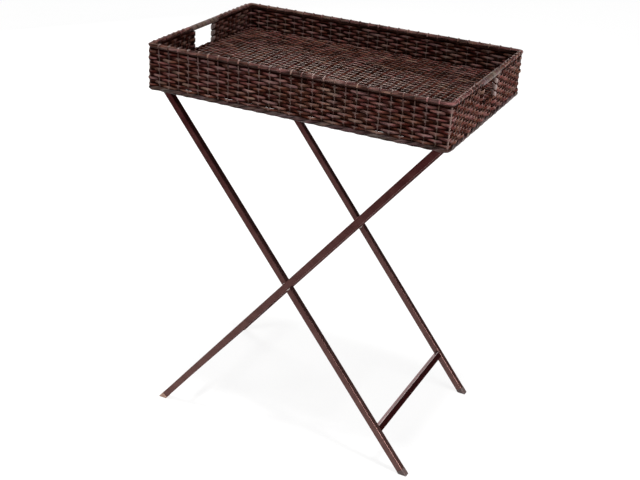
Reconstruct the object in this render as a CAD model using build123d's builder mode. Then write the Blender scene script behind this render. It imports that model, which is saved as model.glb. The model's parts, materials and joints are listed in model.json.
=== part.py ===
"""Folding tray table: a woven tray with hand holes on a folding X stand of square steel tube."""

import os
from math import atan2, cos, sin, sqrt

from build123d import *

os.makedirs("parts", exist_ok=True)

# All sizes are in millimetres. X runs along the tray, Y across it, and Z up from the floor
# under the middle of the table. The table's front is -Y.

# Tray, outside
rim_length = 600.0
rim_width = 390.0
table_height = 770.0
tray_depth = 88.0
wall_thickness = 8.0

# Bound rim and lower border, each round a steel rod
rim_height = 11.0
rim_overhang = 1.5
rim_rounding = 3.5
rim_rod_size = 6.0
base_height = 10.0
base_overhang = 0.5
base_rounding = 2.5
base_rod_size = 5.0
corner_bend = 6.0

# Hand holes and grips
hand_hole_length = 68.0
hand_hole_sill = 1.0
grip_length = 112.0
grip_rounding = 5.0

# Upright rods inside the weave
post_size = 4.0
handle_post_inset = 4.0
weave_clearance = 0.2

# Floor of the tray and the bars that carry it
inside_depth = 50.0
floor_thickness = 8.0
floor_bar_size = 8.0
floor_bar_count = 5
floor_ring_size = 8.0
floor_ring_corner = 3.0
floor_clearance = 0.3

# Stand of square tube
tube_size = 13.0
tube_wall = 1.0
tube_corner = 1.5
pivot_height = 339.0
stretcher_height = 79.0
rest_gap = 0.3
end_gap = 0.5
side_gap = 1.2

# Foot caps and top plugs
foot_length = 11.0
foot_flare = 0.4
foot_chamfer = 1.2
stem_length = 18.0
stem_clearance = 0.1
plug_head = 1.5

# Pivots
stud_size = 6.0
stud_clearance = 0.05
stud_head_size = 9.0
stud_head_thickness = 1.5
spacer_size = 16.0
spacer_thickness = 1.6
pivot_play = 0.2
nut_washer_size = 12.0
nut_washer_thickness = 1.0
nut_sides = 6
nut_width = 10.0
nut_height = 5.0
nut_dome_height = 4.0
nut_dome_rounding = 2.5
nut_thread_depth = 7.0

# Heights of the tray
tray_bottom = table_height - tray_depth
rim_bottom = table_height - rim_height
rim_middle = table_height - rim_height / 2
base_top = tray_bottom + base_height
base_middle = tray_bottom + base_height / 2
floor_top = table_height - inside_depth
floor_bottom = floor_top - floor_thickness
ring_top = floor_bottom - floor_bar_size
ring_bottom = ring_top - floor_ring_size

# The middle line of the walls, seen from above, which the rim and the lower border share
wall_line_length = rim_length - 2 * rim_overhang - wall_thickness
wall_line_width = rim_width - 2 * rim_overhang - wall_thickness
wall_line_x = wall_line_length / 2
wall_line_y = wall_line_width / 2
rim_section = wall_thickness + 2 * rim_overhang
base_section = wall_thickness + 2 * base_overhang
inside_length = wall_line_length - wall_thickness
inside_width = wall_line_width - wall_thickness
straight_wall_width = wall_line_width - 2 * corner_bend

# Upright rods: corner rods stand on the middle of the corner's bend
bend_inset = corner_bend * (1 - sqrt(0.5))
corner_post_x = wall_line_x - bend_inset
corner_post_y = wall_line_y - bend_inset
handle_post_y = hand_hole_length / 2 + handle_post_inset
post_bottom = base_middle + base_rod_size / 2
post_top = rim_middle - rim_rod_size / 2
corner_post_places = [
    (x, y) for x in (-corner_post_x, corner_post_x) for y in (-corner_post_y, corner_post_y)
]
handle_post_places = [
    (x, y) for x in (-wall_line_x, wall_line_x) for y in (-handle_post_y, handle_post_y)
]
post_places = corner_post_places + handle_post_places

# The stand's top bars lie under the floor ring and just inside the lower border, which keeps
# the stand from spreading. Each bar is turned with its frame, so it reaches half its diagonal.
bar_reach = tube_size * sqrt(0.5)
top_bar_x = (wall_line_length - base_section) / 2 - end_gap - bar_reach
top_bar_rise = ring_bottom - rest_gap - bar_reach - pivot_height
leg_angle = atan2(top_bar_rise, top_bar_x)
top_bar_along = top_bar_rise / sin(leg_angle)
stretcher_along = (stretcher_height - pivot_height) / sin(leg_angle)
leg_top = top_bar_along + tube_size / 2 - plug_head
leg_bottom = foot_length - pivot_height / sin(leg_angle)

# The two frames are equally wide and stand one tube and one spacer apart along Y
frame_offset = tube_size + spacer_thickness + pivot_play
left_front_y = side_gap + (tube_size + base_section - wall_line_width) / 2
right_front_y = left_front_y + frame_offset
left_rear_y = -right_front_y
right_rear_y = -left_front_y
cross_bar_length = left_rear_y - left_front_y - tube_size
tube_bore = tube_size - 2 * tube_wall
bore_corner = max(tube_corner - tube_wall, tube_wall / 2)
stem_size = tube_bore - 2 * stem_clearance
foot_size = tube_size + 2 * foot_flare
stud_hole = stud_size / 2 + stud_clearance

# Which way each frame leans: the left frame's top is at +X, the right frame's at -X
frames = {
    "left_frame": (1, left_front_y, left_rear_y),
    "right_frame": (-1, right_front_y, right_rear_y),
}


def save(piece, name):
    """Name a finished piece and write it."""
    piece.part.label = name
    export_step(piece.part, f"parts/{name}.step")


def leg_plane(lean, along, y=0.0):
    """Plane square to a leg, a distance along it from the pivot, with its own X along the table's Y."""
    axis = Vector(lean * cos(leg_angle), 0, sin(leg_angle))
    return Plane(origin=Vector(0, y, pivot_height) + axis * along, x_dir=(0, 1, 0), z_dir=axis)


def bar_plane(lean, along, y):
    """Plane square to a cross bar, turned with its frame, facing +Y."""
    leg = leg_plane(lean, along, y)
    return Plane(origin=leg.origin, x_dir=leg.z_dir, z_dir=(0, 1, 0))


def pivot_plane(y):
    """Plane square to the pivots, facing +Y."""
    return Plane(origin=(0, y, pivot_height), x_dir=(1, 0, 0), z_dir=(0, 1, 0))


def rim_plane(x, y, facing):
    """Plane square to the rim where it runs along Y, facing +Y for 1 and -Y for -1."""
    return Plane(origin=(x, y, rim_middle), x_dir=(1, 0, 0), z_dir=(0, facing, 0))


def tube_profile():
    """Section of the square tube, drawn in the sketch that calls it."""
    RectangleRounded(tube_size, tube_size, tube_corner)
    RectangleRounded(tube_bore, tube_bore, bore_corner, mode=Mode.SUBTRACT)


def wall_ring():
    """Outline of the four walls seen from above, drawn in the sketch that calls it."""
    RectangleRounded(
        wall_line_length + wall_thickness,
        wall_line_width + wall_thickness,
        corner_bend + wall_thickness / 2,
    )
    RectangleRounded(inside_length, inside_width, corner_bend - wall_thickness / 2, mode=Mode.SUBTRACT)


def cut_post_holes(bottom, height):
    """Holes for the upright rods, cut in the part that calls it."""
    with BuildSketch(Plane.XY.offset(bottom)) as holes:
        with Locations(*post_places):
            Circle(post_size / 2 + weave_clearance)
    extrude(holes.sketch, amount=height, mode=Mode.SUBTRACT)


def sweep_round_tray(radius, height, mode=Mode.ADD):
    """Round rod along the middle line of the walls, in two halves, in the part that calls it."""
    for side in (-1, 1):
        with BuildLine() as half_line:
            FilletPolyline(
                (0, -wall_line_y, height),
                (side * wall_line_x, -wall_line_y, height),
                (side * wall_line_x, wall_line_y, height),
                (0, wall_line_y, height),
                radius=corner_bend,
            )
        with BuildSketch(Plane(origin=(0, -wall_line_y, height), z_dir=(side, 0, 0))) as section:
            Circle(radius)
        sweep(section.sketch, path=half_line.wire(), mode=mode)


def leg(lean, y, pivot_hole_start):
    """One leg tube, with a pivot hole that runs from a given Y to past its rear wall."""
    with BuildPart() as tube:
        with BuildSketch(leg_plane(lean, leg_bottom, y)):
            tube_profile()
        extrude(amount=leg_top - leg_bottom)
        with BuildSketch(pivot_plane(pivot_hole_start)):
            Circle(stud_hole)
        extrude(amount=y + tube_size - pivot_hole_start, mode=Mode.SUBTRACT)
    return tube


def cross_bar(lean, along, y):
    """One tube between a frame's two legs."""
    with BuildPart() as tube:
        with BuildSketch(bar_plane(lean, along, y + tube_size / 2)):
            tube_profile()
        extrude(amount=cross_bar_length)
    return tube


def foot(lean, y):
    """One foot cap, cut flat where it stands on the floor, with a stem inside the tube."""
    with BuildPart() as cap:
        with BuildSketch(leg_plane(lean, leg_bottom, y)):
            RectangleRounded(foot_size, foot_size, tube_corner + foot_flare)
        extrude(amount=-foot_length - foot_size)
        split(bisect_by=Plane.XY, keep=Keep.TOP)
        chamfer(cap.faces().sort_by(Axis.Z)[0].edges(), foot_chamfer)
        with BuildSketch(leg_plane(lean, leg_bottom, y)):
            RectangleRounded(stem_size, stem_size, bore_corner)
        extrude(amount=stem_length)
    return cap


def top_plugs(lean, front_y, rear_y):
    """The two plugs in the upper ends of a frame's legs."""
    with BuildPart() as plugs:
        with BuildSketch(leg_plane(lean, leg_top)):
            with Locations((front_y, 0), (rear_y, 0)):
                RectangleRounded(tube_size, tube_size, tube_corner)
        extrude(amount=plug_head)
        with BuildSketch(leg_plane(lean, leg_top)):
            with Locations((front_y, 0), (rear_y, 0)):
                RectangleRounded(stem_size, stem_size, bore_corner)
        extrude(amount=-stem_length)
    return plugs


# Stand frames
for frame_name, (lean, front_y, rear_y) in frames.items():
    for place, leg_y in (("front", front_y), ("rear", rear_y)):
        # A stud is held inside the left frame's leg and passes right through the right frame's
        hole_start = leg_y if frame_name == "left_frame" else leg_y - tube_size
        save(leg(lean, leg_y, hole_start), f"{frame_name}_{place}_leg")
        save(foot(lean, leg_y), f"{frame_name}_{place}_foot")
    save(cross_bar(lean, top_bar_along, front_y), f"{frame_name}_top_bar")
    save(cross_bar(lean, stretcher_along, front_y), f"{frame_name}_stretcher")
    save(top_plugs(lean, front_y, rear_y), f"{frame_name}_top_plugs")

# Pivots: each stack starts at the rear face of a left frame leg and runs towards +Y
stack_starts = [y + tube_size / 2 for y in (left_front_y, left_rear_y)]
washer_start = frame_offset + pivot_play
nut_start = washer_start + nut_washer_thickness

with BuildPart() as pivot_studs:
    for start in stack_starts:
        head_face = start - tube_wall - stud_head_thickness
        with BuildSketch(pivot_plane(head_face)):
            Circle(stud_head_size / 2)
        extrude(amount=stud_head_thickness)
        with BuildSketch(pivot_plane(head_face)):
            Circle(stud_size / 2)
        extrude(amount=stud_head_thickness + tube_wall + nut_start + nut_thread_depth)
save(pivot_studs, "pivot_studs")

with BuildPart() as spacer_washers:
    for start in stack_starts:
        with BuildSketch(pivot_plane(start)):
            Circle(spacer_size / 2)
            Circle(stud_hole, mode=Mode.SUBTRACT)
        extrude(amount=spacer_thickness)
save(spacer_washers, "spacer_washers")

with BuildPart() as nut_washers:
    for start in stack_starts:
        with BuildSketch(pivot_plane(start + washer_start)):
            Circle(nut_washer_size / 2)
            Circle(stud_hole, mode=Mode.SUBTRACT)
        extrude(amount=nut_washer_thickness)
save(nut_washers, "nut_washers")

with BuildPart() as pivot_nuts:
    for start in stack_starts:
        with BuildSketch(pivot_plane(start + nut_start)):
            RegularPolygon(nut_width / 2, nut_sides, major_radius=False)
        extrude(amount=nut_height)
        with BuildSketch(pivot_plane(start + nut_start + nut_height)):
            Circle(nut_width / 2)
        extrude(amount=nut_dome_height)
    dome_faces = pivot_nuts.faces().filter_by(GeomType.PLANE).filter_by(Axis.Y)
    for start in stack_starts:
        dome_end = start + nut_start + nut_height + nut_dome_height
        dome_edges = dome_faces.filter_by_position(Axis.Y, dome_end, dome_end).edges()
        fillet(dome_edges, nut_dome_rounding)
        with BuildSketch(pivot_plane(start + nut_start)):
            Circle(stud_hole)
        extrude(amount=nut_thread_depth + stud_clearance, mode=Mode.SUBTRACT)
save(pivot_nuts, "pivot_nuts")

# Steel rods inside the rim and the lower border
for node_name, rod_size, rod_height in (
    ("rim_rod", rim_rod_size, rim_middle),
    ("base_rod", base_rod_size, base_middle),
):
    with BuildPart() as rod:
        sweep_round_tray(rod_size / 2, rod_height)
    save(rod, node_name)

# Upright rods
for node_name, places in (("corner_posts", corner_post_places), ("handle_posts", handle_post_places)):
    with BuildPart() as posts:
        with BuildSketch(Plane.XY.offset(post_bottom)):
            with Locations(*places):
                Circle(post_size / 2)
        extrude(amount=post_top - post_bottom)
    save(posts, node_name)

# Woven walls: the long ones take the corners, the short ones have the hand holes
corner_strip = wall_thickness / 2 + corner_bend
for node_name, side in (("front_wall_weave", -1), ("rear_wall_weave", 1)):
    with BuildPart() as long_wall:
        with BuildSketch(Plane.XY.offset(base_top)):
            wall_ring()
            with Locations((0, side * (straight_wall_width + corner_strip) / 2)):
                Rectangle(rim_length, corner_strip, mode=Mode.INTERSECT)
        extrude(amount=rim_bottom - base_top)
        cut_post_holes(base_top, rim_bottom - base_top)
    save(long_wall, node_name)

for node_name, side in (("left_wall_weave", -1), ("right_wall_weave", 1)):
    with BuildPart() as short_wall:
        with BuildSketch(Plane.XY.offset(base_top)):
            with Locations((side * wall_line_x, 0)):
                Rectangle(wall_thickness, straight_wall_width)
        extrude(amount=rim_bottom - base_top)
        with BuildSketch(Plane.XY.offset(floor_top + hand_hole_sill)):
            with Locations((side * wall_line_x, 0)):
                Rectangle(wall_thickness, hand_hole_length)
        extrude(amount=rim_bottom - floor_top - hand_hole_sill, mode=Mode.SUBTRACT)
        cut_post_holes(base_top, rim_bottom - base_top)
    save(short_wall, node_name)

# Bound rim: each half runs from grip to grip round two corners
for node_name, side in (("front_rim_binding", -1), ("rear_rim_binding", 1)):
    grip_end = side * grip_length / 2
    with BuildPart() as rim_half:
        with BuildLine() as rim_line:
            FilletPolyline(
                (-wall_line_x, grip_end, rim_middle),
                (-wall_line_x, side * wall_line_y, rim_middle),
                (wall_line_x, side * wall_line_y, rim_middle),
                (wall_line_x, grip_end, rim_middle),
                radius=corner_bend,
            )
        with BuildSketch(rim_plane(-wall_line_x, grip_end, side)):
            RectangleRounded(rim_section, rim_height, rim_rounding)
            Circle(rim_rod_size / 2 + weave_clearance, mode=Mode.SUBTRACT)
        sweep(path=rim_line.wire())
        cut_post_holes(rim_bottom, rim_height / 2)
    save(rim_half, node_name)

# Wrapped grips over the hand holes
for node_name, side in (("left_grip_wrap", -1), ("right_grip_wrap", 1)):
    with BuildPart() as grip:
        with BuildSketch(rim_plane(side * wall_line_x, -grip_length / 2, 1)):
            RectangleRounded(rim_section, rim_height, grip_rounding)
            Circle(rim_rod_size / 2 + weave_clearance, mode=Mode.SUBTRACT)
        extrude(amount=grip_length)
        cut_post_holes(rim_bottom, rim_height / 2)
    save(grip, node_name)

# Bound lower border
with BuildPart() as base_binding:
    with BuildSketch(Plane.XY.offset(tray_bottom)):
        RectangleRounded(
            wall_line_length + base_section,
            wall_line_width + base_section,
            corner_bend + base_section / 2,
        )
        RectangleRounded(
            wall_line_length - base_section,
            wall_line_width - base_section,
            corner_bend - base_section / 2,
            mode=Mode.SUBTRACT,
        )
    extrude(amount=base_height)
    fillet(base_binding.faces().filter_by(Axis.Z).edges(), base_rounding)
    sweep_round_tray(base_rod_size / 2 + weave_clearance, base_middle, Mode.SUBTRACT)
    cut_post_holes(base_middle, base_height / 2)
save(base_binding, "base_binding")

# Floor of the tray
floor_length = inside_length - 2 * floor_clearance
floor_width = inside_width - 2 * floor_clearance

with BuildPart() as floor_ring:
    with BuildSketch(Plane.XY.offset(ring_bottom)):
        RectangleRounded(floor_length, floor_width, floor_ring_corner)
        Rectangle(
            floor_length - 2 * floor_ring_size,
            floor_width - 2 * floor_ring_size,
            mode=Mode.SUBTRACT,
        )
    extrude(amount=floor_ring_size)
save(floor_ring, "floor_ring")

with BuildPart() as floor_bars:
    bar_spacing = floor_length / (floor_bar_count + 1)
    with BuildSketch(Plane.XY.offset(ring_top)):
        with GridLocations(bar_spacing, 0, floor_bar_count, 1):
            Rectangle(floor_bar_size, floor_width)
    extrude(amount=floor_bar_size)
save(floor_bars, "floor_bars")

with BuildPart() as floor_weave:
    with BuildSketch(Plane.XY.offset(floor_bottom)):
        RectangleRounded(floor_length, floor_width, floor_ring_corner)
    extrude(amount=floor_thickness)
save(floor_weave, "floor_weave")
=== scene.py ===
"""Looks of the folding tray table: resin strands woven over the tray's frame, painted tube, pale studio."""

import json
import math

import bpy
import numpy as np
from mathutils import Matrix, Vector


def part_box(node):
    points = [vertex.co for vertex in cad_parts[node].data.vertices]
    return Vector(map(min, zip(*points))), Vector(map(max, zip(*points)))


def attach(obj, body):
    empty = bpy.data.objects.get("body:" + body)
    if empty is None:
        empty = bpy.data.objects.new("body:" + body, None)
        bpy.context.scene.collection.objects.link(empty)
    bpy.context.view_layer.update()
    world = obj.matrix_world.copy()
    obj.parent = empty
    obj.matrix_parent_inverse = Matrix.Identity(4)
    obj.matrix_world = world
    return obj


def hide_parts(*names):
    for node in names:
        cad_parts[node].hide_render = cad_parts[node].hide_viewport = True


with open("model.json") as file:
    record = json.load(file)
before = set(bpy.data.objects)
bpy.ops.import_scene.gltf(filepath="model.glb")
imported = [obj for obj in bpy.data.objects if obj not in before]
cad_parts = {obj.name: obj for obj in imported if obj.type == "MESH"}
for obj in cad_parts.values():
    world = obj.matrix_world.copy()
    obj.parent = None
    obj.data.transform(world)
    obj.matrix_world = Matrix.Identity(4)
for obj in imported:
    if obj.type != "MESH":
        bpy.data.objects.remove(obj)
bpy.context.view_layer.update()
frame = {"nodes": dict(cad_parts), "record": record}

mm = 0.001
chance = np.random.default_rng(seed=11)
up = np.array((0.0, 0.0, 1.0))

# Places read from the frame
rod_low, rod_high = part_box("rim_rod")
wall_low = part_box("front_wall_weave")[0]
post_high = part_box("handle_posts")[1]
grip_low, grip_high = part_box("left_grip_wrap")
border_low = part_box("base_binding")[0]
floor_low, floor_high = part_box("floor_weave")
rim_rod_radius = (rod_high.z - rod_low.z) / 2
wall_x = rod_high.x - rim_rod_radius
wall_y = rod_high.y - rim_rod_radius
post_radius = post_high.x - wall_x
post_y = post_high.y - post_radius
wall_nodes = ("front_wall_weave", "rear_wall_weave", "left_wall_weave", "right_wall_weave")
rim_nodes = ("front_rim_binding", "rear_rim_binding")

# Rows and stakes of the walls
corner_bend = 6 * mm
bend_steps = 12
wall_rows = 11
rows_under_holes = 5
sill_row = rows_under_holes - 0.5
top_row_share = 0.45
top_row_inset = 1.0 * mm
row_pitch = 6.27 * mm
long_wall_gaps = 28
end_wall_gaps = 9
half_hole_gaps = 2
stake_width = 2.4 * mm
stake_thickness = 1.5 * mm
stake_lean = 2.8 * mm
stake_bend_rows = (-2, -1.2, -0.8, 0)
stake_bend_shares = (0, 0, 0.7, 1, 1)
corner_stake_out = 2.2 * mm
filler_width = 7.6 * mm
filler_thickness = 0.9 * mm
filler_step = 5 * mm

# Strands
strand_thickness = 2.8 * mm
width_at_stake = 6.7 * mm
width_between = 6.05 * mm
width_range = (0.88, 1.06)
weave_depth = 1.8 * mm
corner_depth = 2.8 * mm
depth_range = (0.5, 1.3)
crest_sharpness = 0.25
steps_per_gap = 8
step_crowding = 0.5
row_wander = 0.55 * mm
wander_waves = (3, 30)
wander_start = 6.0
wander_share = 0.25
row_tilt = 0.15 * mm
neutral_relief = 0.6

# Strand wound round the grips, and round the posts of the hand holes under the rows' loops
wound_thickness = 1.0 * mm
wound_width = 6.6 * mm
wound_pitch = 6.2 * mm
wound_steps = 24
loop_thickness = 2.0 * mm
post_depth = post_radius + wound_thickness + loop_thickness / 2
loop_steps = 8
loop_width = 9.0 * mm
# Relief of the loops round the hole posts, past a crest's: a painted highlight on them, besides their shine
loop_highlight_relief = 1.2

# Floor
floor_rows = 58
floor_stakes_per_gap = 2
floor_steps_per_gap = 6
lower_steps_per_gap = 3
floor_openness = 0.85
floor_sag = 0.35
floor_depth = 0.6 * mm
floor_thickness = 1.2 * mm
floor_filler_thickness = 0.6 * mm
floor_groups = 6

# Rim with its grips and ties, lower border and sills. Each core is the half sizes of a twist's middle
rim_strands = 4
rim_lay = 190 * mm
rim_core = (3.1 * mm, 2.1 * mm)
rim_lift = 2.2 * mm
rim_height = (rod_low.z + rod_high.z) / 2 + rim_lift
rim_strand_width = 4.5 * mm
rim_strand_thickness = 2.0 * mm
twist_wander = 0.5 * mm
grip_overlap = 6 * mm
grip_end_reach = 3.4 * mm
tie_width = 3.0 * mm
tie_thickness = 1.5 * mm
tie_sink = 0.3 * mm
tie_drop = 2.5 * mm
tie_steps = 15
border_strands = 3
border_lay = 75 * mm
border_core = (3.2 * mm, 2.9 * mm)
border_strand_width = 6.9 * mm
border_strand_thickness = 1.8 * mm
sill_strands = 2
sill_lay = 44 * mm
sill_core = (2.4 * mm, 0.9 * mm)
twist_step = 2.5 * mm


def wall_line():
    """Distances, points and outward directions round the walls, from the left wall's middle by the front."""
    quarter = np.linspace(0, math.pi / 2, bend_steps + 1)
    points, outward = [(-wall_x, 0)], [(-1, 0)]
    for corner, (sx, sy) in enumerate(((-1, -1), (1, -1), (1, 1), (-1, 1))):
        middle = np.array((sx * (wall_x - corner_bend), sy * (wall_y - corner_bend)))
        for angle in math.pi * (1 + corner / 2) + quarter:
            direction = np.array((math.cos(angle), math.sin(angle)))
            points.append(middle + corner_bend * direction)
            outward.append(direction)
    points, outward = np.array([*points, points[0]]), np.array([*outward, outward[0]])
    lengths = np.linalg.norm(np.diff(points, axis=0), axis=1)
    return np.concatenate([[0], np.cumsum(lengths)]), points, outward


line_places, line_points, line_outward = wall_line()
line_length = line_places[-1]
half_line = line_length / 2


def unit(vectors):
    """Vectors made one long."""
    return vectors / np.linalg.norm(vectors, axis=-1, keepdims=True)


def on_walls(places, heights):
    """Points on the walls' middle and outward directions, at distances round the walls and heights."""
    places = np.asarray(places) % line_length
    flat = np.stack([np.interp(places, line_places, line_points[:, i]) for i in (0, 1)], -1)
    outward = np.stack([np.interp(places, line_places, line_outward[:, i]) for i in (0, 1)], -1)
    points = np.concatenate([flat, np.broadcast_to(heights, places.shape)[:, None]], 1)
    return points, unit(np.concatenate([outward, np.zeros((len(places), 1))], 1))


def stake_places():
    """Distances round the walls at which the upright stakes stand, one at each corner and hole post."""
    corner = wall_y - corner_bend + corner_bend * math.pi / 4
    stops = (0, post_y, corner, half_line - corner, half_line - post_y, half_line)
    gaps = (half_hole_gaps, end_wall_gaps, long_wall_gaps, end_wall_gaps, half_hole_gaps)
    runs = [np.linspace(a, b, n, endpoint=False) for a, b, n in zip(stops, stops[1:], gaps)]
    first_half = np.concatenate(runs)
    return np.concatenate([first_half, first_half + half_line])


stakes = stake_places()
half_turn = len(stakes) // 2
left_post = half_hole_gaps
left_corner = left_post + end_wall_gaps
right_corner = left_corner + long_wall_gaps
right_post = right_corner + end_wall_gaps
corners = [left_corner, right_corner, left_corner + half_turn, right_corner + half_turn]
corner_places = stakes[corners]
stake_depths = np.full(len(stakes), weave_depth)
stake_depths[corners] = corner_depth
stake_depths[[left_post, right_post, left_post + half_turn, right_post + half_turn]] = post_depth


def from_hole_middle(place):
    """Distance round the walls to the middle of the nearer hand hole."""
    return min(place % half_line, half_line - place % half_line)


def row_height(row):
    """Height of a row's middle, counted from the lowest row."""
    return wall_low.z + row_pitch * row


class Strands:
    """Collects swept strands, then makes one object of them."""

    corners = 10
    squareness = 0.95
    map_gap = 2
    map_stretch = 7.5

    def __init__(self):
        self.points, self.places, self.tones, self.reliefs = [], [], [], []
        self.faces, self.map_places = [], []
        self.count = 0
        self.columns = 0
        turn = 2 * np.pi * (np.arange(self.corners) + 0.5) / self.corners
        bulge = np.stack([np.cos(turn), np.sin(turn)], 1)
        self.profile = np.sign(bulge) * np.abs(bulge) ** self.squareness / 2
        self.face_side = np.sign(bulge[:, 1])

    def add(self, centres, outward, width, thickness, closed=False, relief=neutral_relief):
        """One strand along centres, its broad face towards outward.

        Relief says how far its outward face stands out, from -1 where it is sunk to 1 on a crest, and its
        other face the opposite. A single number holds for both.
        """
        n = len(centres)
        ahead = np.roll(centres, -1, 0) - np.roll(centres, 1, 0)
        if not closed:
            ahead[0], ahead[-1] = centres[1] - centres[0], centres[-1] - centres[-2]
        ahead = unit(ahead)
        side = unit(np.cross(outward, ahead))
        face = np.cross(ahead, side)
        across = self.profile[None, :, 0] * np.broadcast_to(width, n)[:, None]
        rise = self.profile[None, :, 1] * np.broadcast_to(thickness, n)[:, None]
        self.points.append(
            centres[:, None] + side[:, None] * across[..., None] + face[:, None] * rise[..., None]
        )
        steps = np.linalg.norm(np.diff(centres, axis=0), axis=1)
        along = np.broadcast_to(np.concatenate([[0], np.cumsum(steps)])[:, None], across.shape)
        self.places.append(np.stack([along, across, rise], -1))
        self.tones.append(np.full(across.size, chance.random()))
        sided = relief[:, None] * self.face_side if np.ndim(relief) else relief
        self.reliefs.append(np.broadcast_to(sided, across.shape).ravel())
        self.add_faces(n, closed)

    def add_faces(self, rings, closed):
        """Faces round a strand of this many rings, each with its own place on the map."""
        ring = self.count + np.arange(rings * self.corners).reshape(rings, self.corners)
        after = np.roll(ring, -1, 0)
        if not closed:
            ring, after = ring[:-1], after[:-1]
        quads = np.stack([ring, np.roll(ring, -1, 1), np.roll(after, -1, 1), after], -1)
        self.faces += quads.reshape(-1, 4).tolist()
        column, row = np.indices(ring.shape)
        corner_column = np.broadcast_to((self.columns + column)[..., None], quads.shape)
        corner_ahead = np.broadcast_to((0, 0, 1, 1), quads.shape)
        corner_row = row[..., None] + np.array((0, 1, 1, 0))
        self.map_places.append(np.stack([corner_column, corner_ahead, corner_row], -1).reshape(-1, 3))
        self.columns += len(ring)
        if not closed:
            self.add_end(ring[0][::-1])
            self.add_end(after[-1])
        self.columns += self.map_gap
        self.count += rings * self.corners

    def add_end(self, ring):
        """The face that closes a strand's end, in a column of its own on the map."""
        self.faces.append(ring.tolist())
        turn = 2 * np.pi * np.arange(self.corners) / self.corners
        ahead = (1 + np.cos(turn)) / 2
        row = self.corners * (1 + np.sin(turn)) / 2
        self.map_places.append(np.stack([np.full(self.corners, self.columns), ahead, row], -1))
        self.columns += 1

    def map_points(self):
        """Places on the map: the strands laid end to end, in bands one above the other."""
        column, ahead, row = np.concatenate(self.map_places).T
        band_columns = math.ceil(math.sqrt(self.columns * self.map_stretch))
        bands = math.ceil(self.columns / band_columns)
        across = (column % band_columns + ahead) / band_columns
        band_height = self.corners + self.map_gap
        rise = (column // band_columns * band_height + row) / (bands * band_height)
        return np.stack([across, rise], -1)

    def make(self, name, material, slot, *replaced):
        """The object, riding on the tray in place of the CAD nodes it stands for."""
        mesh = bpy.data.meshes.new(name)
        mesh.from_pydata(np.concatenate([p.reshape(-1, 3) for p in self.points]).tolist(), [], self.faces)
        mesh.shade_smooth()
        place = mesh.attributes.new("strand_place", "FLOAT_VECTOR", "POINT")
        place.data.foreach_set("vector", np.concatenate([p.reshape(-1, 3) for p in self.places]).ravel())
        for key, values in (("strand_tone", self.tones), ("strand_relief", self.reliefs)):
            attribute = mesh.attributes.new(key, "FLOAT", "POINT")
            attribute.data.foreach_set("value", np.concatenate(values))
        bake_map = mesh.uv_layers.new(name="OFBake")
        bake_map.uv.foreach_set("vector", self.map_points().ravel().astype(np.float32))
        mesh.materials.append(material)
        piece = bpy.data.objects.new(name, mesh)
        bpy.context.scene.collection.objects.link(piece)
        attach(piece, "tray")
        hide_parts(*replaced)


def weave(stops, sides, steps=steps_per_gap, sag=0.0):
    """Places, depths, reliefs and widths of a strand that passes its stops at these depths.

    Between two stops on the same side it sags by this share of its depth. Its relief drops by the same
    share, so that the painted highlight on a crest falls only at the stops.
    """
    u = np.arange(steps) / steps
    t = u - step_crowding * np.sin(2 * np.pi * u) / (2 * np.pi)
    hold = crest_sharpness * (1 - t) + (1 - crest_sharpness) * (1 + np.cos(np.pi * t)) / 2
    swell = np.abs(2 * hold - 1)
    fronts = np.sign(sides)
    places = stops[:-1, None] + np.diff(stops)[:, None] * t
    depths = sides[:-1, None] * hold + sides[1:, None] * (1 - hold)
    reliefs = fronts[:-1, None] * hold + fronts[1:, None] * (1 - hold)
    held = 1 - sag * (1 - swell)
    widths = np.broadcast_to(width_between + (width_at_stake - width_between) * swell, places.shape)
    runs = (places, depths * held, reliefs * held, widths * chance.uniform(*width_range))
    ends = (stops[-1], sides[-1], fronts[-1], width_at_stake)
    return [np.append(run, end) for run, end in zip(runs, ends)]


def alternate(depths, row, run=1):
    """Depths taken in front and behind by turns of this many stakes, each a little uneven."""
    fronts = np.where((np.arange(len(depths)) // run + row) % 2, 1.0, -1.0)
    return fronts * depths * chance.uniform(*depth_range, len(depths))


def wander(count, reach=row_wander):
    """A slow, small drift from place to place, the same at both ends."""
    turn = np.linspace(0, 2 * np.pi, count)
    drift = np.zeros(count)
    for waves in range(*wander_waves):
        strength = chance.normal() / math.sqrt(waves)
        drift += strength * np.sin(waves * turn + chance.uniform(0, wander_start))
    return reach * wander_share * drift


def tilt(reliefs):
    """How far a strand lies above its row's line: higher where it comes to the front, lower going back."""
    turn = np.gradient(reliefs)
    return row_tilt * turn / np.abs(turn).max()


def full_row(strands, row):
    """One strand all round the tray, below the hand holes."""
    sides = alternate(stake_depths, row)
    places, depths, reliefs, widths = weave(np.append(stakes, line_length), np.append(sides, sides[0]))
    middle, outward = on_walls(places, row_height(row) + wander(len(places)) + tilt(reliefs))
    centres = middle + outward * depths[:, None]
    strands.add(centres[:-1], outward[:-1], widths[:-1], strand_thickness, closed=True, relief=reliefs[:-1])


def row_between_posts(row, first_stop, last_stop):
    """Points, outward directions, widths and reliefs of a row above the sills; the top one lies inside.

    The top row's relief is lowered, which paints it in shade under the rim.
    """
    sides = alternate(stake_depths[first_stop : last_stop + 1], first_stop + row)
    sides[[0, -1]] = post_depth * (1 if (first_stop + row) % 2 else -1)
    places, depths, reliefs, widths = weave(stakes[first_stop : last_stop + 1], sides)
    if row == wall_rows:
        depths = depths * top_row_share - top_row_inset
        # Lowered relief: painted shade on the row under the rim
        reliefs = (reliefs + 1) * top_row_share - 1
    middle, outward = on_walls(places, row_height(row) + wander(len(places)) + tilt(reliefs))
    return middle + outward * depths[:, None], outward, widths, reliefs


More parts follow.
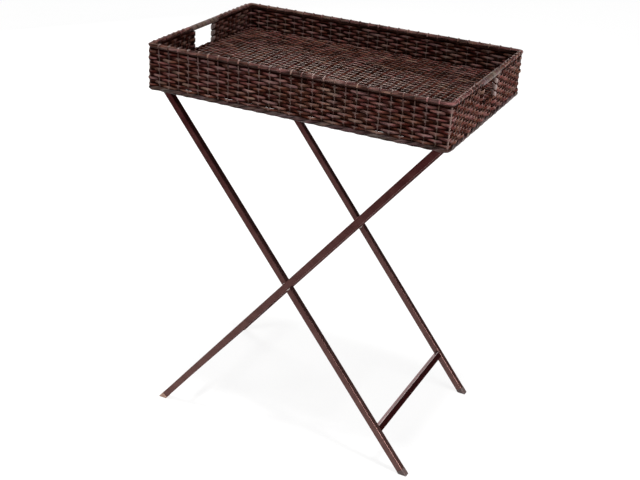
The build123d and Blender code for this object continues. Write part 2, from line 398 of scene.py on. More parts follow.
def loop_round_post(stop, into_hole, low, high):
    """Points and outward directions of a strand's half turn round a hole's post, from outside to inside."""
    middle, outward = on_walls(stakes[[stop]], 0)
    along = np.cross(up, outward) * into_hole
    angle = np.linspace(0, np.pi, loop_steps + 2)[1:-1, None]
    radial = np.cos(angle) * outward + np.sin(angle) * along
    rise = (1 - np.cos(angle)) / 2
    return middle + radial * post_depth + up * (low + (high - low) * rise), radial


def looped_rows(strands, row, first_stop, last_stop):
    """Two rows in one strand, which turns round the posts of the hand holes at both ends."""
    low, low_out, low_width, low_relief = row_between_posts(row, first_stop, last_stop)
    high, high_out, high_width, high_relief = row_between_posts(row + 1, first_stop, last_stop)
    last_loop, last_out = loop_round_post(last_stop, 1, low[-1, 2], high[-1, 2])
    first_loop, first_out = loop_round_post(first_stop, -1, low[0, 2], high[0, 2])
    loop_widths = np.full(loop_steps, loop_width)
    loop_relief = np.full(loop_steps, loop_highlight_relief)
    row_thickness = np.full(len(low), strand_thickness)
    row_thickness[[0, -1]] = loop_thickness
    thickness = np.concatenate([row_thickness, np.full(loop_steps, loop_thickness)] * 2)
    centres = np.concatenate([low, last_loop, high[::-1], first_loop[::-1]])
    outward = np.concatenate([low_out, last_out, -high_out[::-1], first_out[::-1]])
    widths = np.concatenate([low_width, loop_widths, high_width[::-1], loop_widths])
    relief = np.concatenate([low_relief, loop_relief, -high_relief[::-1], loop_relief])
    strands.add(centres, outward, widths, thickness, closed=True, relief=relief)


def make_walls(material, top_material):
    """Rows of the walls: rings below the hand holes, looped pairs between them, and one under the rim.

    The one under the rim is in top_material, near black as painted shade under the rim.
    """
    for row in range(rows_under_holes):
        strands = Strands()
        full_row(strands, row)
        strands.make(f"wall_row_{row + 1}", material, "woven_strand", *wall_nodes)
    for name, start in (("front", 0), ("rear", half_turn)):
        posts = (start + left_post, start + right_post)
        for row in range(rows_under_holes, wall_rows, 2):
            strands = Strands()
            looped_rows(strands, row, *posts)
            strands.make(f"{name}_rows_{row + 1}_{row + 2}", material, "woven_strand", *wall_nodes)
        strands = Strands()
        centres, outward, widths, relief = row_between_posts(wall_rows, *posts)
        strands.add(centres, outward, widths, strand_thickness, relief=relief)
        strands.make(f"{name}_top_row", top_material, "woven_strand", *wall_nodes)


def stake_heights(place):
    """Heights along a stake and how far it leans out: short below a hand hole, bent out under the rim."""
    low = border_low.z + border_core[1]
    if from_hole_middle(place) < post_y:
        return np.array((low, row_height(rows_under_holes - 1))), np.zeros(2)
    rows = np.array(stake_bend_rows) + wall_rows
    return np.append(low, row_height(rows)), stake_lean * np.array(stake_bend_shares)


def make_stakes(material, corner_material):
    """Thin stakes that stand in the walls; at the corners they stand further out, paler with a painted
    highlight.
    """
    wall_stakes, corner_stakes = Strands(), Strands()
    for place in stakes:
        heights, lean = stake_heights(place)
        middle, outward = on_walls(np.full(len(heights), place), heights)
        if place in corner_places:
            centres = middle + outward * corner_stake_out
            # A crest's relief all along and the rim's paler strand: painted highlight on the corners
            corner_stakes.add(centres, outward, stake_width, stake_thickness, relief=1.0)
        elif not math.isclose(from_hole_middle(place), post_y, abs_tol=mm):
            wall_stakes.add(middle + outward * lean[:, None], outward, stake_width, stake_thickness)
    wall_stakes.make("wall_stakes", material, "woven_strand", *wall_nodes)
    corner_stakes.make("corner_stakes", corner_material, "woven_strand", *wall_nodes)


def make_fillers(material):
    """Flat near-black strands that run straight between the stakes and close the rows, above the lowest row:
    painted shade in the weave's gaps.
    """
    strands = Strands()
    steps = round(line_length / filler_step)
    for row in range(1, rows_under_holes):
        middle, outward = on_walls(np.arange(steps) * line_length / steps, row_height(row))
        strands.add(middle, outward, filler_width, filler_thickness, closed=True)
    for start in (0, half_turn):
        places = np.arange(stakes[start + left_post], stakes[start + right_post], filler_step)
        for row in range(rows_under_holes, wall_rows + 1):
            middle, outward = on_walls(places, row_height(row))
            strands.add(middle, outward, filler_width, filler_thickness)
    strands.make("wall_fillers", material, "woven_strand", *wall_nodes)


def make_floor(weaver, stake, filler):
    """Floor of flat strips in two layers, one for its upper face and one for its lower."""
    reach = floor_depth + floor_thickness / 2
    backing = reach + floor_filler_thickness / 2
    for name, height, inward, steps in (
        ("upper", floor_high.z - reach, -backing, floor_steps_per_gap),
        ("lower", floor_low.z + reach, backing, lower_steps_per_gap),
    ):
        make_floor_layer(f"{name}_floor", height, height + inward, steps, weaver, stake, filler)


def make_floor_layer(name, height, filler_height, steps, weaver, stake, filler):
    """Strips along the tray, over and under pairs of stakes that run across it, backed by near-black strips
    of painted shade.
    """
    stake_x = np.linspace(floor_low.x, floor_high.x, floor_stakes_per_gap * long_wall_gaps + 1)
    pitch = (floor_high.y - floor_low.y) / floor_rows
    row_y = floor_low.y + pitch * (np.arange(floor_rows) + 0.5)
    share = floor_openness * pitch / row_pitch
    for group in range(floor_groups):
        strands = Strands()
        for row in range(group, floor_rows, floor_groups):
            sides = alternate(np.full(len(stake_x), floor_depth), row, floor_stakes_per_gap)
            x, depths, reliefs, widths = weave(stake_x, sides, steps, floor_sag)
            centres = np.stack([x, row_y[row] + wander(len(x)), height + depths], 1)
            facing = np.broadcast_to(up, centres.shape)
            strands.add(centres, facing, widths * share, floor_thickness, relief=reliefs)
        strands.make(f"{name}_strands_{group + 1}", weaver, "woven_strand", "floor_weave")
    cores, fillers = Strands(), Strands()
    facing = np.broadcast_to(up, (2, 3))
    for x in stake_x[1:-1]:
        centres = np.array([(x, y, height) for y in (floor_low.y, floor_high.y)])
        cores.add(centres, facing, stake_width, stake_thickness)
    for y in row_y:
        centres = np.array([(x, y, filler_height) for x in (floor_low.x, floor_high.x)])
        fillers.add(centres, facing, filler_width, floor_filler_thickness)
    cores.make(f"{name}_stakes", stake, "woven_strand", "floor_weave")
    fillers.make(f"{name}_fillers", filler, "woven_strand", "floor_weave")


def twist(strands, places, height, core, count, lay, width, thickness, closed=False):
    """Strands laid along the walls in a long twist round a middle of these half sizes."""
    middle, outward = on_walls(places, height)
    for strand in range(count):
        angle = 2 * np.pi * (places / lay + strand / count)
        out, rise = np.cos(angle)[:, None], np.sin(angle)[:, None]
        facing = unit(outward * out / core[0] + up * rise / core[1])
        centres = middle + outward * out * core[0] + up * rise * core[1]
        centres += facing * wander(len(places), twist_wander)[:, None]
        strands.add(centres, facing, width * chance.uniform(*width_range), thickness, closed)


def make_rim(material):
    """Rim of long strands in a twist from grip to grip."""
    reach = grip_high.y - grip_overlap
    for name, start in zip(rim_nodes, (0, half_line)):
        places = np.arange(start + reach, start + half_line - reach, twist_step)
        strands = Strands()
        size = (rim_strand_width, rim_strand_thickness)
        twist(strands, places, rim_height, rim_core, rim_strands, rim_lay, *size)
        strands.make(name.replace("binding", "strands"), material, "border_strand", name)


def make_ties(material):
    """Thin strands over the rim at the stakes between grips and corners, their ends tucked in below."""
    lift_off = (rim_strand_thickness + tie_thickness) / 2 - tie_sink
    reach_out, reach_up = (size + lift_off for size in rim_core)
    angle = np.linspace(np.pi, 0, tie_steps)
    out = np.concatenate([[-1], np.cos(angle), [1]])
    lift = np.concatenate([[-tie_drop], np.sin(angle) * reach_up, [-tie_drop]])
    facing_up = np.concatenate([[0], np.sin(angle) * reach_out / reach_up, [0]])
    # Relief rising to a crest over the rim: painted highlight on each tie's top
    top_highlight_relief = np.concatenate([[0], np.sin(angle), [0]])
    strands = Strands()
    for place in stakes:
        if from_hole_middle(place) < grip_high.y + tie_width or place in corner_places:
            continue
        middle, outward = on_walls(np.full(len(out), place), rim_height + lift)
        facing = unit(outward * out[:, None] + up * facing_up[:, None])
        centres = middle + outward * out[:, None] * reach_out
        strands.add(centres, facing, tie_width, tie_thickness, relief=top_highlight_relief)
    strands.make("rim_ties", material, "woven_strand", *rim_nodes)


def make_border(material):
    """Lower border: a twist of strands round a straight one, all round the tray's foot."""
    lay = line_length / round(line_length / border_lay)
    steps = round(line_length / twist_step)
    places = np.arange(steps) * line_length / steps
    height = border_low.z + border_core[1] + border_strand_thickness / 2
    strands = Strands()
    middle, outward = on_walls(places, height)
    # Sunk relief on the straight middle strand: painted shade inside the twist
    strands.add(middle, outward, 2 * border_core[1], 2 * border_core[0], closed=True, relief=-1.0)
    size = (border_strand_width, border_strand_thickness)
    twist(strands, places, height, border_core, border_strands, lay, *size, closed=True)
    strands.make("border_strands", material, "border_strand", "base_binding")


def make_sills(material):
    """A twist of strands from post to post, under each hand hole."""
    height = row_height(sill_row)
    for name, start in (("left", 0), ("right", half_line)):
        places = np.arange(start - post_y, start + post_y, twist_step)
        strands = Strands()
        twist(strands, places, height, sill_core, sill_strands, sill_lay, width_between, strand_thickness)
        strands.make(f"{name}_sill_strands", material, "woven_strand", f"{name}_wall_weave")


def wind(strands, start, end, reach, end_reach):
    """A flat strand wound tightly round the line from start to end, drawn in on its first and last turn."""
    axis = end - start
    ahead = unit(axis)
    turns = round(np.linalg.norm(axis) / wound_pitch)
    angle = np.linspace(0, 2 * np.pi * turns, turns * wound_steps + 1)[:, None]
    out = np.array((1.0, 0.0, 0.0))
    radial = np.cos(angle) * out + np.sin(angle) * np.cross(ahead, out)
    from_end = np.minimum(angle, angle[-1] - angle) / (2 * np.pi)
    reaches = end_reach + (reach - end_reach) * np.minimum(from_end, 1)
    centres = start + axis * angle / angle[-1] + radial * reaches
    strands.add(centres, radial, wound_width, wound_thickness)


def make_grips(material):
    """Strand wound round the rim over each hand hole."""
    height = (grip_high.z + grip_low.z) / 2
    reach = (grip_high.z - grip_low.z - wound_thickness) / 2
    end = grip_high.y - wound_width / 2
    for name, x in (("left", -wall_x), ("right", wall_x)):
        strands = Strands()
        wind(strands, np.array((x, -end, height)), np.array((x, end, height)), reach, grip_end_reach)
        strands.make(f"{name}_grip_strand", material, "grip_strand", f"{name}_grip_wrap")


def make_jambs(material):
    """Strand wound round each post of the hand holes, from the sill to the grip."""
    low = row_height(sill_row)
    for name, x in (("left", -wall_x), ("right", wall_x)):
        strands = Strands()
        for y in (-post_y, post_y):
            start, end = np.array((x, y, low)), np.array((x, y, grip_low.z))
            reach = post_radius + wound_thickness / 2
            wind(strands, start, end, reach, reach)
        strands.make(f"{name}_jamb_strands", material, "woven_strand", f"{name}_wall_weave")


class Nodes:
    """A material's nodes, made and joined by short calls."""

    def __init__(self, name):
        self.material = bpy.data.materials.new(name)
        self.material.use_nodes = True
        self.tree = self.material.node_tree
        self.shader = self.tree.nodes["Principled BSDF"]

    def new(self, kind, **settings):
        node = self.tree.nodes.new("ShaderNode" + kind)
        for key, value in settings.items():
            setattr(node, key, value)
        return node

    def link(self, output, socket):
        self.tree.links.new(output, socket)

    def attribute(self, name, output="Fac"):
        return self.new("Attribute", attribute_name=name).outputs[output]

    def math(self, operation, *values):
        node = self.new("Math", operation=operation)
        for socket, value in zip(node.inputs, values):
            if isinstance(value, (int, float)):
                socket.default_value = value
            else:
                self.link(value, socket)
        return node.outputs[0]

    def combine(self, *values):
        node = self.new("CombineXYZ")
        for socket, value in zip(node.inputs, values):
            self.link(value, socket)
        return node.outputs[0]

    def split(self, vector):
        node = self.new("SeparateXYZ")
        self.link(vector, node.inputs[0])
        return node.outputs

    def noise(self, vector, scale, detail):
        node = self.new("TexNoise")
        node.inputs["Scale"].default_value = scale
        node.inputs["Detail"].default_value = detail
        self.link(vector, node.inputs["Vector"])
        return node.outputs["Fac"]

    def ramp(self, factor, *stops):
        node = self.new("ValToRGB")
        elements = node.color_ramp.elements
        while len(elements) < len(stops):
            elements.new(1.0)
        for element, (place, colour) in zip(elements, stops):
            element.position = place
            element.color = (*colour, 1.0)
        self.link(factor, node.inputs["Fac"])
        return node.outputs["Color"]

    def spread(self, factor, low, high, start=0.0, end=1.0):
        node = self.new("MapRange")
        for key, value in zip(("From Min", "From Max", "To Min", "To Max"), (start, end, low, high)):
            node.inputs[key].default_value = value
        self.link(factor, node.inputs["Value"])
        return node.outputs["Result"]

    def scale(self, colour, factor):
        node = self.new("VectorMath", operation="SCALE")
        self.link(colour, node.inputs[0])
        self.link(factor, node.inputs["Scale"])
        return node.outputs[0]

    def tint(self, colour, other):
        node = self.new("VectorMath", operation="MULTIPLY")
        self.link(colour, node.inputs[0])
        self.link(other, node.inputs[1])
        return node.outputs[0]

    def mix(self, factor, first, second):
        node = self.new("Mix", data_type="RGBA")
        self.link(factor, node.inputs["Factor"])
        self.link(first, node.inputs[6])
        node.inputs[7].default_value = (*second, 1.0)
        return node.outputs[2]

    def vary_roughness(self, factor, roughness, below, above):
        self.link(self.spread(factor, roughness - below, roughness + above), self.shader.inputs["Roughness"])

    def bump(self, height, strength, distance):
        node = self.new("Bump")
        node.inputs["Strength"].default_value = strength
        node.inputs["Distance"].default_value = distance
        self.link(height, node.inputs["Height"])
        self.link(node.outputs["Normal"], self.shader.inputs["Normal"])


# Look of the strands: sizes of the noises, along and across a strand, and what each of them changes
noise_apart = 90.0
drift_scale = 22.0
drift_detail = 2.0
drift_stops = (0.38, 0.46, 0.54, 0.62)
hue_scale = 15.0
hue_detail = 2.0
hue_stops = ((0.4, (1.0, 0.9, 1.0)), (0.5, (1.0, 1.0, 1.0)), (0.6, (0.98, 1.06, 0.9)))
grain_scales = (60.0, 1500.0)
grain_detail = 4.0
grain_range = (0.3, 0.7)
grain_shade = (0.6, 1.4)
grain_wear_and_highlight = (0.2, 1.2)
grain_roughness = (0.05, 0.1)
grain_bump = 0.3
grain_depth = 0.25 * mm
streak_scales = (45.0, 420.0)
streak_detail = 3.0
streak_range = (0.32, 0.68)
streak_shade = (0.3, 1.7)
# Painted shade along a strand's lower edge
low_edge_shade_band = (-1.9 * mm, 0.5 * mm)
# Painted light on the tray's ends, where the painted shade is lifted
end_wall_band = 6 * mm
end_wall_lift = 0.7
# Painted highlight, partly wear, on a strand's crests and along its upper edge
ridge_range = (0.91, 1.0)
ridge_wear_and_highlight = 0.8
upper_highlight_range = (0.45, 0.95)
upper_highlight_band = (0.3 * mm, 1.9 * mm)
upper_highlight_strength = 0.75


def strand_noise(n, along, across, apart, scales, detail):
    """Noise drawn out along a strand, and different on each one."""
    place = n.combine(n.math("MULTIPLY", along, scales[0]), n.math("MULTIPLY", across, scales[1]), apart)
    return n.noise(place, 1.0, detail)


def end_wall_light(n):
    """How far the painted shade is lifted on the tray's two ends, a painted light that makes them lighter
    than the long walls, and nothing elsewhere.
    """
    x = n.split(n.new("TexCoord").outputs["Object"])["X"]
    return n.spread(n.math("ABSOLUTE", x), 0.0, end_wall_lift, wall_x - end_wall_band, wall_x)


def strand_wear_and_highlight(n, across, relief, grain):
    """Where a strand is made pale: worn with a painted highlight on its crests, and a painted highlight
    along its upper edge where it stands out.
    """
    ridge = n.spread(relief, 0.0, ridge_wear_and_highlight, *ridge_range)
    upper_edge = n.spread(across, 0.0, 1.0, *upper_highlight_band)
    upper_highlight = n.math("MULTIPLY", n.spread(relief, 0.0, upper_highlight_strength, *upper_highlight_range), upper_edge)
    return n.math("MULTIPLY", n.math("MAXIMUM", ridge, upper_highlight), n.spread(grain, *grain_wear_and_highlight))


def strand_material(
    name,
    colours,
    worn_and_highlight_colour,
    roughness=0.32,
    low_edge_shade=None,
    specular=0.1,
    sunk=0.45,
    lit_from=0.2,
    shine=(0.0, neutral_relief),
):
    """Resin strand: a tone that drifts along it, lengthwise grain and streaks, and worn crests with a
    painted highlight.

    It keeps the share sunk of its colour where it is sunk, as painted shade, and all of it from the relief
    lit_from on. Its lower edge keeps the share low_edge_shade, also painted shade. It shines from the first
    relief of shine, in full at the second.
    """
    n = Nodes(name)
    place = n.split(n.attribute("strand_place", "Vector"))
    along, across = place["X"], place["Y"]
    tone = n.attribute("strand_tone")
    relief = n.attribute("strand_relief")
    apart = n.math("MULTIPLY", tone, noise_apart)
    drift = n.noise(n.combine(along, apart), drift_scale, drift_detail)
    hue = n.noise(n.combine(along, tone, apart), hue_scale, hue_detail)
    grain = strand_noise(n, along, across, apart, grain_scales, grain_detail)
    streak = strand_noise(n, along, across, apart, streak_scales, streak_detail)
    end_wall = end_wall_light(n)
    # Painted shade: darker where the strand is sunk, less so on the tray's ends
    shade = n.math("MAXIMUM", n.spread(relief, sunk, 1.0, -1.0, lit_from), end_wall)
    shade = n.math("MULTIPLY", shade, n.spread(grain, *grain_shade, *grain_range))
    shade = n.math("MULTIPLY", shade, n.spread(streak, *streak_shade, *streak_range))
    # Painted shade along the lower edge, where a top light leaves each strand dark
    if low_edge_shade is not None:
        edge = n.math("MAXIMUM", n.spread(across, low_edge_shade, 1.0, *low_edge_shade_band), end_wall)
        shade = n.math("MULTIPLY", shade, edge)
    base = n.tint(n.ramp(drift, *zip(drift_stops, colours)), n.ramp(hue, *hue_stops))
    # Worn colour with painted highlight, on crests and upper edges
    wear_and_highlight = strand_wear_and_highlight(n, across, relief, grain)
    n.link(n.mix(wear_and_highlight, n.scale(base, shade), worn_and_highlight_colour), n.shader.inputs["Base Color"])
    n.vary_roughness(grain, roughness, *grain_roughness)
    if specular:
        n.link(n.spread(relief, 0.0, specular, *shine), n.shader.inputs["Specular IOR Level"])
    else:
        n.shader.inputs["Specular IOR Level"].default_value = 0.0
    n.bump(grain, grain_bump, grain_depth)
    return n.material


# Look of the painted steel, the plastic and the fasteners
mottle_scale = 55.0
mottle_detail = 4.0
mottle_stops = (0.32, 0.5, 0.7)
satin_scale = 900.0
satin_detail = 2.0
satin_roughness = (0.08, 0.1)
satin_bump = 0.12
satin_depth = 0.15 * mm
# Painted light towards the feet, and a painted reflection on upper faces
foot_heights = (0.05, 0.65)
foot_mottle = (0.5, 1.2)
upper_facing = (0.7, 0.95)
upper_mottle = (0.6, 1.0)
upper_reflection_share = 0.6
glancing_colour = (0.4, 0.15, 0.15)
scuff_scale = 260.0
scuff_detail = 5.0
scuff_stops = (0.3, 0.5, 0.72)
scuff_roughness = (0.1, 0.1)
scuff_bump = 0.15
scuff_depth = 0.1 * mm
tarnish_scale = 320.0
tarnish_detail = 5.0
tarnish_stops = (0.3, 0.5, 0.75)
tarnish_roughness = (0.12, 0.12)


def painted_steel(name, colours, roughness, metallic=0.0, specular=0.5, foot_colour=None, top_reflection_colour=None):
    """Satin paint over steel, a little mottled.

    It turns to foot_colour towards the feet, as painted light, and to top_reflection_colour on upper faces,
    as a painted reflection, where these are given.
    """
    n = Nodes(name)
    place = n.new("TexCoord").outputs["Object"]
    mottle = n.noise(place, mottle_scale, mottle_detail)
    satin = n.noise(place, satin_scale, satin_detail)
    paint = n.ramp(mottle, *zip(mottle_stops, colours))
    n.shader.inputs["Metallic"].default_value = metallic
    n.shader.inputs["Specular IOR Level"].default_value = specular
    n.shader.inputs["Specular Tint"].default_value = (*glancing_colour, 1.0)
    if foot_colour:
        # Paler towards the feet: painted light, the legs shaded under the tray and lit near the floor
        lowness = n.spread(n.split(place)["Z"], 1.0, 0.0, *foot_heights)
        painted_foot_light = n.math("MULTIPLY", lowness, n.spread(mottle, *foot_mottle))
        paint = n.mix(painted_foot_light, paint, foot_colour)
    if top_reflection_colour:
        # Pale and less metallic on upper faces: a painted reflection of the bright studio
        facing = n.split(n.new("TexCoord").outputs["Normal"])["Z"]
        upper = n.spread(facing, 0.0, 1.0, *upper_facing)
        upper = n.math("MULTIPLY", upper, n.spread(mottle, *upper_mottle))
        paint = n.mix(upper, paint, top_reflection_colour)
        n.link(n.spread(upper, metallic, 0.0, 0.0, upper_reflection_share), n.shader.inputs["Metallic"])
    n.link(paint, n.shader.inputs["Base Color"])
    n.vary_roughness(satin, roughness, *satin_roughness)
    n.bump(satin, satin_bump, satin_depth)
    return n.material


def moulded(name, colours, roughness=0.5):
    """Moulded plastic with scuffs."""
    n = Nodes(name)
    scuff = n.noise(n.new("TexCoord").outputs["Object"], scuff_scale, scuff_detail)
    n.link(n.ramp(scuff, *zip(scuff_stops, colours)), n.shader.inputs["Base Color"])
    n.vary_roughness(scuff, roughness, *scuff_roughness)
    n.bump(scuff, scuff_bump, scuff_depth)
    return n.material


def bare_steel(name, colours, roughness=0.4):
    """Darkened zinc on the fasteners."""
    n = Nodes(name)
    n.shader.inputs["Metallic"].default_value = 1.0
    tarnish = n.noise(n.new("TexCoord").outputs["Object"], tarnish_scale, tarnish_detail)
    n.link(n.ramp(tarnish, *zip(tarnish_stops, colours)), n.shader.inputs["Base Color"])
    n.vary_roughness(tarnish, roughness, *tarnish_roughness)
    return n.material


def slot_finishes():
    """Materials of the frame's nodes, by material slot."""
    stand_colours = ((0.03, 0.0075, 0.0075), (0.042, 0.0115, 0.0115), (0.057, 0.02, 0.0185))
    # Paler colour towards the feet: painted light
    stand_foot = (0.12, 0.066, 0.059)
    steel_colours = ((0.012, 0.006, 0.005), (0.02, 0.01, 0.008), (0.03, 0.017, 0.014))
    cap_colours = ((0.16, 0.09, 0.06), (0.24, 0.14, 0.1), (0.3, 0.19, 0.14))
    washer_colours = ((0.4, 0.36, 0.33), (0.5, 0.46, 0.43), (0.55, 0.5, 0.47))
    fastener_colours = ((0.2, 0.18, 0.16), (0.3, 0.27, 0.25), (0.4, 0.37, 0.34))
    return {
        "stand_paint": painted_steel(
            "stand_paint", stand_colours, roughness=0.25, metallic=0.85, foot_colour=stand_foot
        ),
        "tray_steel": painted_steel("tray_steel", steel_colours, roughness=0.5, specular=0.12),
        "cap_plastic": moulded("cap_plastic", cap_colours),
        "washer_plastic": moulded("washer_plastic", washer_colours),
        "fastener_steel": bare_steel("fastener_steel", fastener_colours),
    }


def own_finishes():
    """Materials of the nodes that differ from the rest of their slot."""
    stretcher_colours = ((0.036, 0.008, 0.008), (0.05, 0.011, 0.011), (0.065, 0.018, 0.017))
    stretcher_top_reflection = (0.42, 0.34, 0.34)
    # The stand's paint without its painted light at the feet, with a painted reflection on its upper faces
    stretcher_paint = painted_steel(
        "stretcher_paint", stretcher_colours, roughness=0.25, metallic=0.85, top_reflection_colour=stretcher_top_reflection
    )
    # A darker copy of the foot caps' plastic for the right frame: painted shade
    shaded_cap = moulded("shaded_cap", ((0.03, 0.015, 0.013), (0.045, 0.024, 0.021), (0.06, 0.034, 0.03)))
    return {
        "left_frame_stretcher": stretcher_paint,
        "right_frame_stretcher": stretcher_paint,
        "right_frame_front_foot": shaded_cap,
        "right_frame_rear_foot": shaded_cap,
    }


def dress_frame_nodes():
    """Materials for the frame's nodes that stay in view."""
    by_slot, by_node = slot_finishes(), own_finishes()
    for part in frame["record"]["subparts"]:
        if part["material_slot"] in by_slot:
            mesh = frame["nodes"][part["node"]].data
            mesh.materials.clear()
            mesh.materials.append(by_node.get(part["node"], by_slot[part["material_slot"]]))


def make_stage():
    """Pale floor that shows white to the camera and in reflections, and keeps the table's shadow."""
    half = 60.0
    glow_share = 0.82
    grey = 0.98
    roughness = 0.9
    corners = [(-half, -half, 0), (half, -half, 0), (half, half, 0), (-half, half, 0)]
    mesh = bpy.data.meshes.new("studio_floor")
    mesh.from_pydata(corners, [], [(0, 1, 2, 3)])
    n = Nodes("studio_floor")
    n.shader.inputs["Base Color"].default_value = (grey, grey, grey, 1.0)
    n.shader.inputs["Roughness"].default_value = roughness
    ray = n.new("LightPath").outputs
    mirrored = n.math("MAXIMUM", ray["Is Glossy Ray"], ray["Is Transmission Ray"])
    share = n.math("MULTIPLY", n.math("MAXIMUM", ray["Is Camera Ray"], mirrored), glow_share)
    mix = n.new("MixShader")
    n.link(share, mix.inputs[0])
    n.link(n.shader.outputs[0], mix.inputs[1])
    n.link(n.new("Emission").outputs[0], mix.inputs[2])
    n.link(mix.outputs[0], n.tree.nodes["Material Output"].inputs["Surface"])
    mesh.materials.append(n.material)
    floor = bpy.data.objects.new("studio_floor", mesh)
    bpy.context.scene.collection.objects.link(floor)


def make_world():
    """A studio with a white horizon that dims overhead."""
    white_below, dim_above = 0.02, 0.12
    overhead = 0.04
    world = bpy.data.worlds.new("studio")
    bpy.context.scene.world = world
    world.use_nodes = True
    tree = world.node_tree
    direction = tree.nodes.new("ShaderNodeTexCoord")
    split = tree.nodes.new("ShaderNodeSeparateXYZ")
    strength = tree.nodes.new("ShaderNodeMapRange")
    strength.inputs["From Min"].default_value = white_below
    strength.inputs["From Max"].default_value = dim_above
    strength.inputs["To Min"].default_value = 1.0
    strength.inputs["To Max"].default_value = overhead
    tree.links.new(direction.outputs["Generated"], split.inputs[0])
    tree.links.new(split.outputs["Z"], strength.inputs["Value"])
    tree.links.new(strength.outputs["Result"], tree.nodes["Background"].inputs["Strength"])
    tree.nodes["Background"].inputs["Color"].default_value = (1, 1, 1, 1)


def make_light():
    """Soft studio light: a wide light overhead, and lamps at the front, right, left behind and back."""
    sun = bpy.data.lights.new("overhead_light", "SUN")
    sun.energy = 2.6
    sun.angle = math.radians(9)
    lamp = bpy.data.objects.new("overhead_light", sun)
    lamp.rotation_euler = Vector((-0.04, 0.12, -1)).to_track_quat("-Z", "Y").to_euler()
    bpy.context.scene.collection.objects.link(lamp)
    soft_box("front_light", place=(-0.8, -2.6, 2.5), size=1.2, power=58)
    soft_box("right_light", place=(3.0, -0.5, 0.9), size=1.4, power=122)
    soft_box("left_light", place=(-2.5, 1.7, 0.8), size=1.2, power=85)
    soft_box("back_light", place=(-1.05, 2.3, 1.5), size=0.8, power=9.5, colour=(1.0, 0.88, 0.82))


def soft_box(name, place, size, power, colour=(1.0, 1.0, 1.0)):
    """A square area lamp at place, aimed at the tray."""
    target = Vector((0, 0, 0.7))
    light = bpy.data.lights.new(name, "AREA")
    light.size = size
    light.energy = power
    light.color = colour
    lamp = bpy.data.objects.new(name, light)
    lamp.location = place
    lamp.rotation_euler = (target - Vector(place)).to_track_quat("-Z", "Y").to_euler()
    bpy.context.scene.collection.objects.link(lamp)


def make_camera():
    """Camera at the photograph's angle, for a 640 x 480 picture."""
    picture_width = 640
    focal_pixels = 1124.1
    middle_right, middle_down = -42.1, 23.2
    place = (0.8419, -1.8753, 1.3416)
    azimuth, elevation, roll = (math.radians(a) for a in (26.79, 26.617, 2.735))
    level = math.cos(elevation)
    back = np.array((math.sin(azimuth) * level, -math.cos(azimuth) * level, math.sin(elevation)))
    right = np.array((math.cos(azimuth), math.sin(azimuth), 0))
    above = np.cross(back, right)
    turned_right = math.cos(roll) * right + math.sin(roll) * above
    turned_up = math.cos(roll) * above - math.sin(roll) * right
    lens = bpy.data.cameras.new("camera")
    lens.sensor_width = 36
    lens.lens = focal_pixels * lens.sensor_width / picture_width
    lens.shift_x = -middle_right / picture_width
    lens.shift_y = middle_down / picture_width
    camera = bpy.data.objects.new("camera", lens)
    camera.matrix_world = Matrix(np.stack([turned_right, turned_up, back], 1).tolist()).to_4x4()
    camera.location = place
    bpy.context.scene.collection.objects.link(camera)
    bpy.context.scene.camera = camera


wall_strand = strand_material(
    "wall_strand",
    ((0.032, 0.008, 0.0055), (0.058, 0.0195, 0.015), (0.084, 0.035, 0.029), (0.1, 0.054, 0.047)),
    (0.142, 0.097, 0.088),
    low_edge_shade=0.12,
    specular=0.6,
    shine=(1.0, loop_highlight_relief),
)
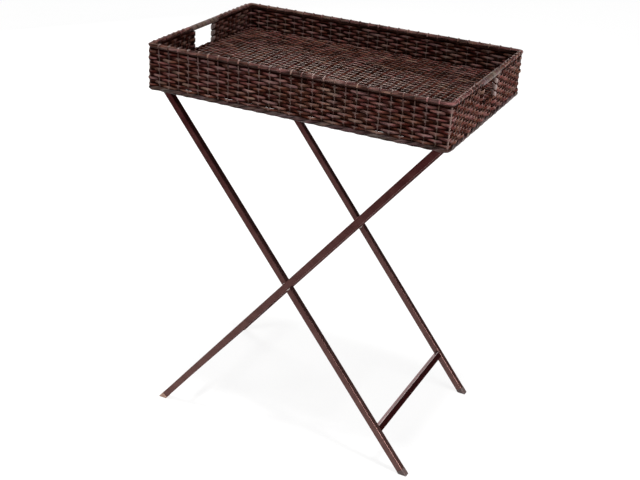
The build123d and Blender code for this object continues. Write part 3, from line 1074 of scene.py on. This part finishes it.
# Near black where sunk: painted shade in the floor's holes; pale on crests at the stakes: wear and painted
# highlight
floor_strand = strand_material(
    "floor_strand",
    ((0.018, 0.005, 0.003), (0.052, 0.016, 0.0115), (0.104, 0.036, 0.028), (0.125, 0.067, 0.056)),
    (0.15, 0.097, 0.084),
    roughness=0.28,
    specular=0.5,
    sunk=0.03,
    lit_from=0.1,
    shine=(0.62, 1.0),
)
stake_strand = strand_material(
    "stake_strand",
    ((0.026, 0.012, 0.01), (0.038, 0.02, 0.017), (0.048, 0.03, 0.026), (0.056, 0.038, 0.033)),
    (0.08, 0.055, 0.048),
    specular=0.04,
)
rim_strand = strand_material(
    "rim_strand",
    ((0.022, 0.007, 0.005), (0.056, 0.02, 0.0165), (0.096, 0.042, 0.036), (0.108, 0.062, 0.054)),
    (0.19, 0.134, 0.118),
    specular=0.05,
)
border_strand = strand_material(
    "border_strand",
    ((0.017, 0.008, 0.0075), (0.032, 0.016, 0.015), (0.046, 0.026, 0.024), (0.048, 0.035, 0.033)),
    (0.095, 0.07, 0.065),
    specular=0.05,
)
# Very pale worn colour: painted highlight on the ties' tops
tie_strand = strand_material(
    "tie_strand",
    ((0.05, 0.022, 0.018), (0.08, 0.036, 0.031), (0.11, 0.052, 0.045), (0.11, 0.066, 0.057)),
    (0.48, 0.37, 0.34),
    specular=0.2,
)
grip_strand = strand_material(
    "grip_strand",
    ((0.05, 0.028, 0.025), (0.07, 0.041, 0.037), (0.09, 0.057, 0.052), (0.09, 0.066, 0.06)),
    (0.15, 0.115, 0.105),
)
# Near black: painted shade, for the fillers in the rows' gaps, the row under the rim and the jambs inside
# the hand holes
painted_shade_strand = strand_material(
    "painted_shade_strand",
    ((0.009, 0.0022, 0.0014), (0.014, 0.0038, 0.0026), (0.021, 0.006, 0.0042), (0.021, 0.0085, 0.0064)),
    (0.034, 0.016, 0.013),
    roughness=0.6,
    low_edge_shade=0.12,
    specular=0.0,
)
floor_stake_strand = strand_material(
    "floor_stake_strand",
    ((0.02, 0.01, 0.008), (0.03, 0.017, 0.014), (0.04, 0.025, 0.021), (0.045, 0.031, 0.026)),
    (0.06, 0.042, 0.037),
    roughness=0.3,
)
# Near black: painted shade in the floor's holes
floor_painted_shade_strand = strand_material(
    "floor_painted_shade_strand",
    ((0.003, 0.001, 0.0008), (0.006, 0.0025, 0.002), (0.01, 0.004, 0.003), (0.011, 0.006, 0.005)),
    (0.015, 0.009, 0.007),
    roughness=0.6,
    specular=0.0,
)
make_walls(wall_strand, painted_shade_strand)
make_stakes(stake_strand, rim_strand)
make_fillers(painted_shade_strand)
make_floor(floor_strand, floor_stake_strand, floor_painted_shade_strand)
make_rim(rim_strand)
make_ties(tie_strand)
make_border(border_strand)
make_sills(wall_strand)
make_grips(grip_strand)
make_jambs(painted_shade_strand)
dress_frame_nodes()
make_stage()
make_world()
make_light()
make_camera()
bpy.context.scene.view_settings.view_transform = "Standard"
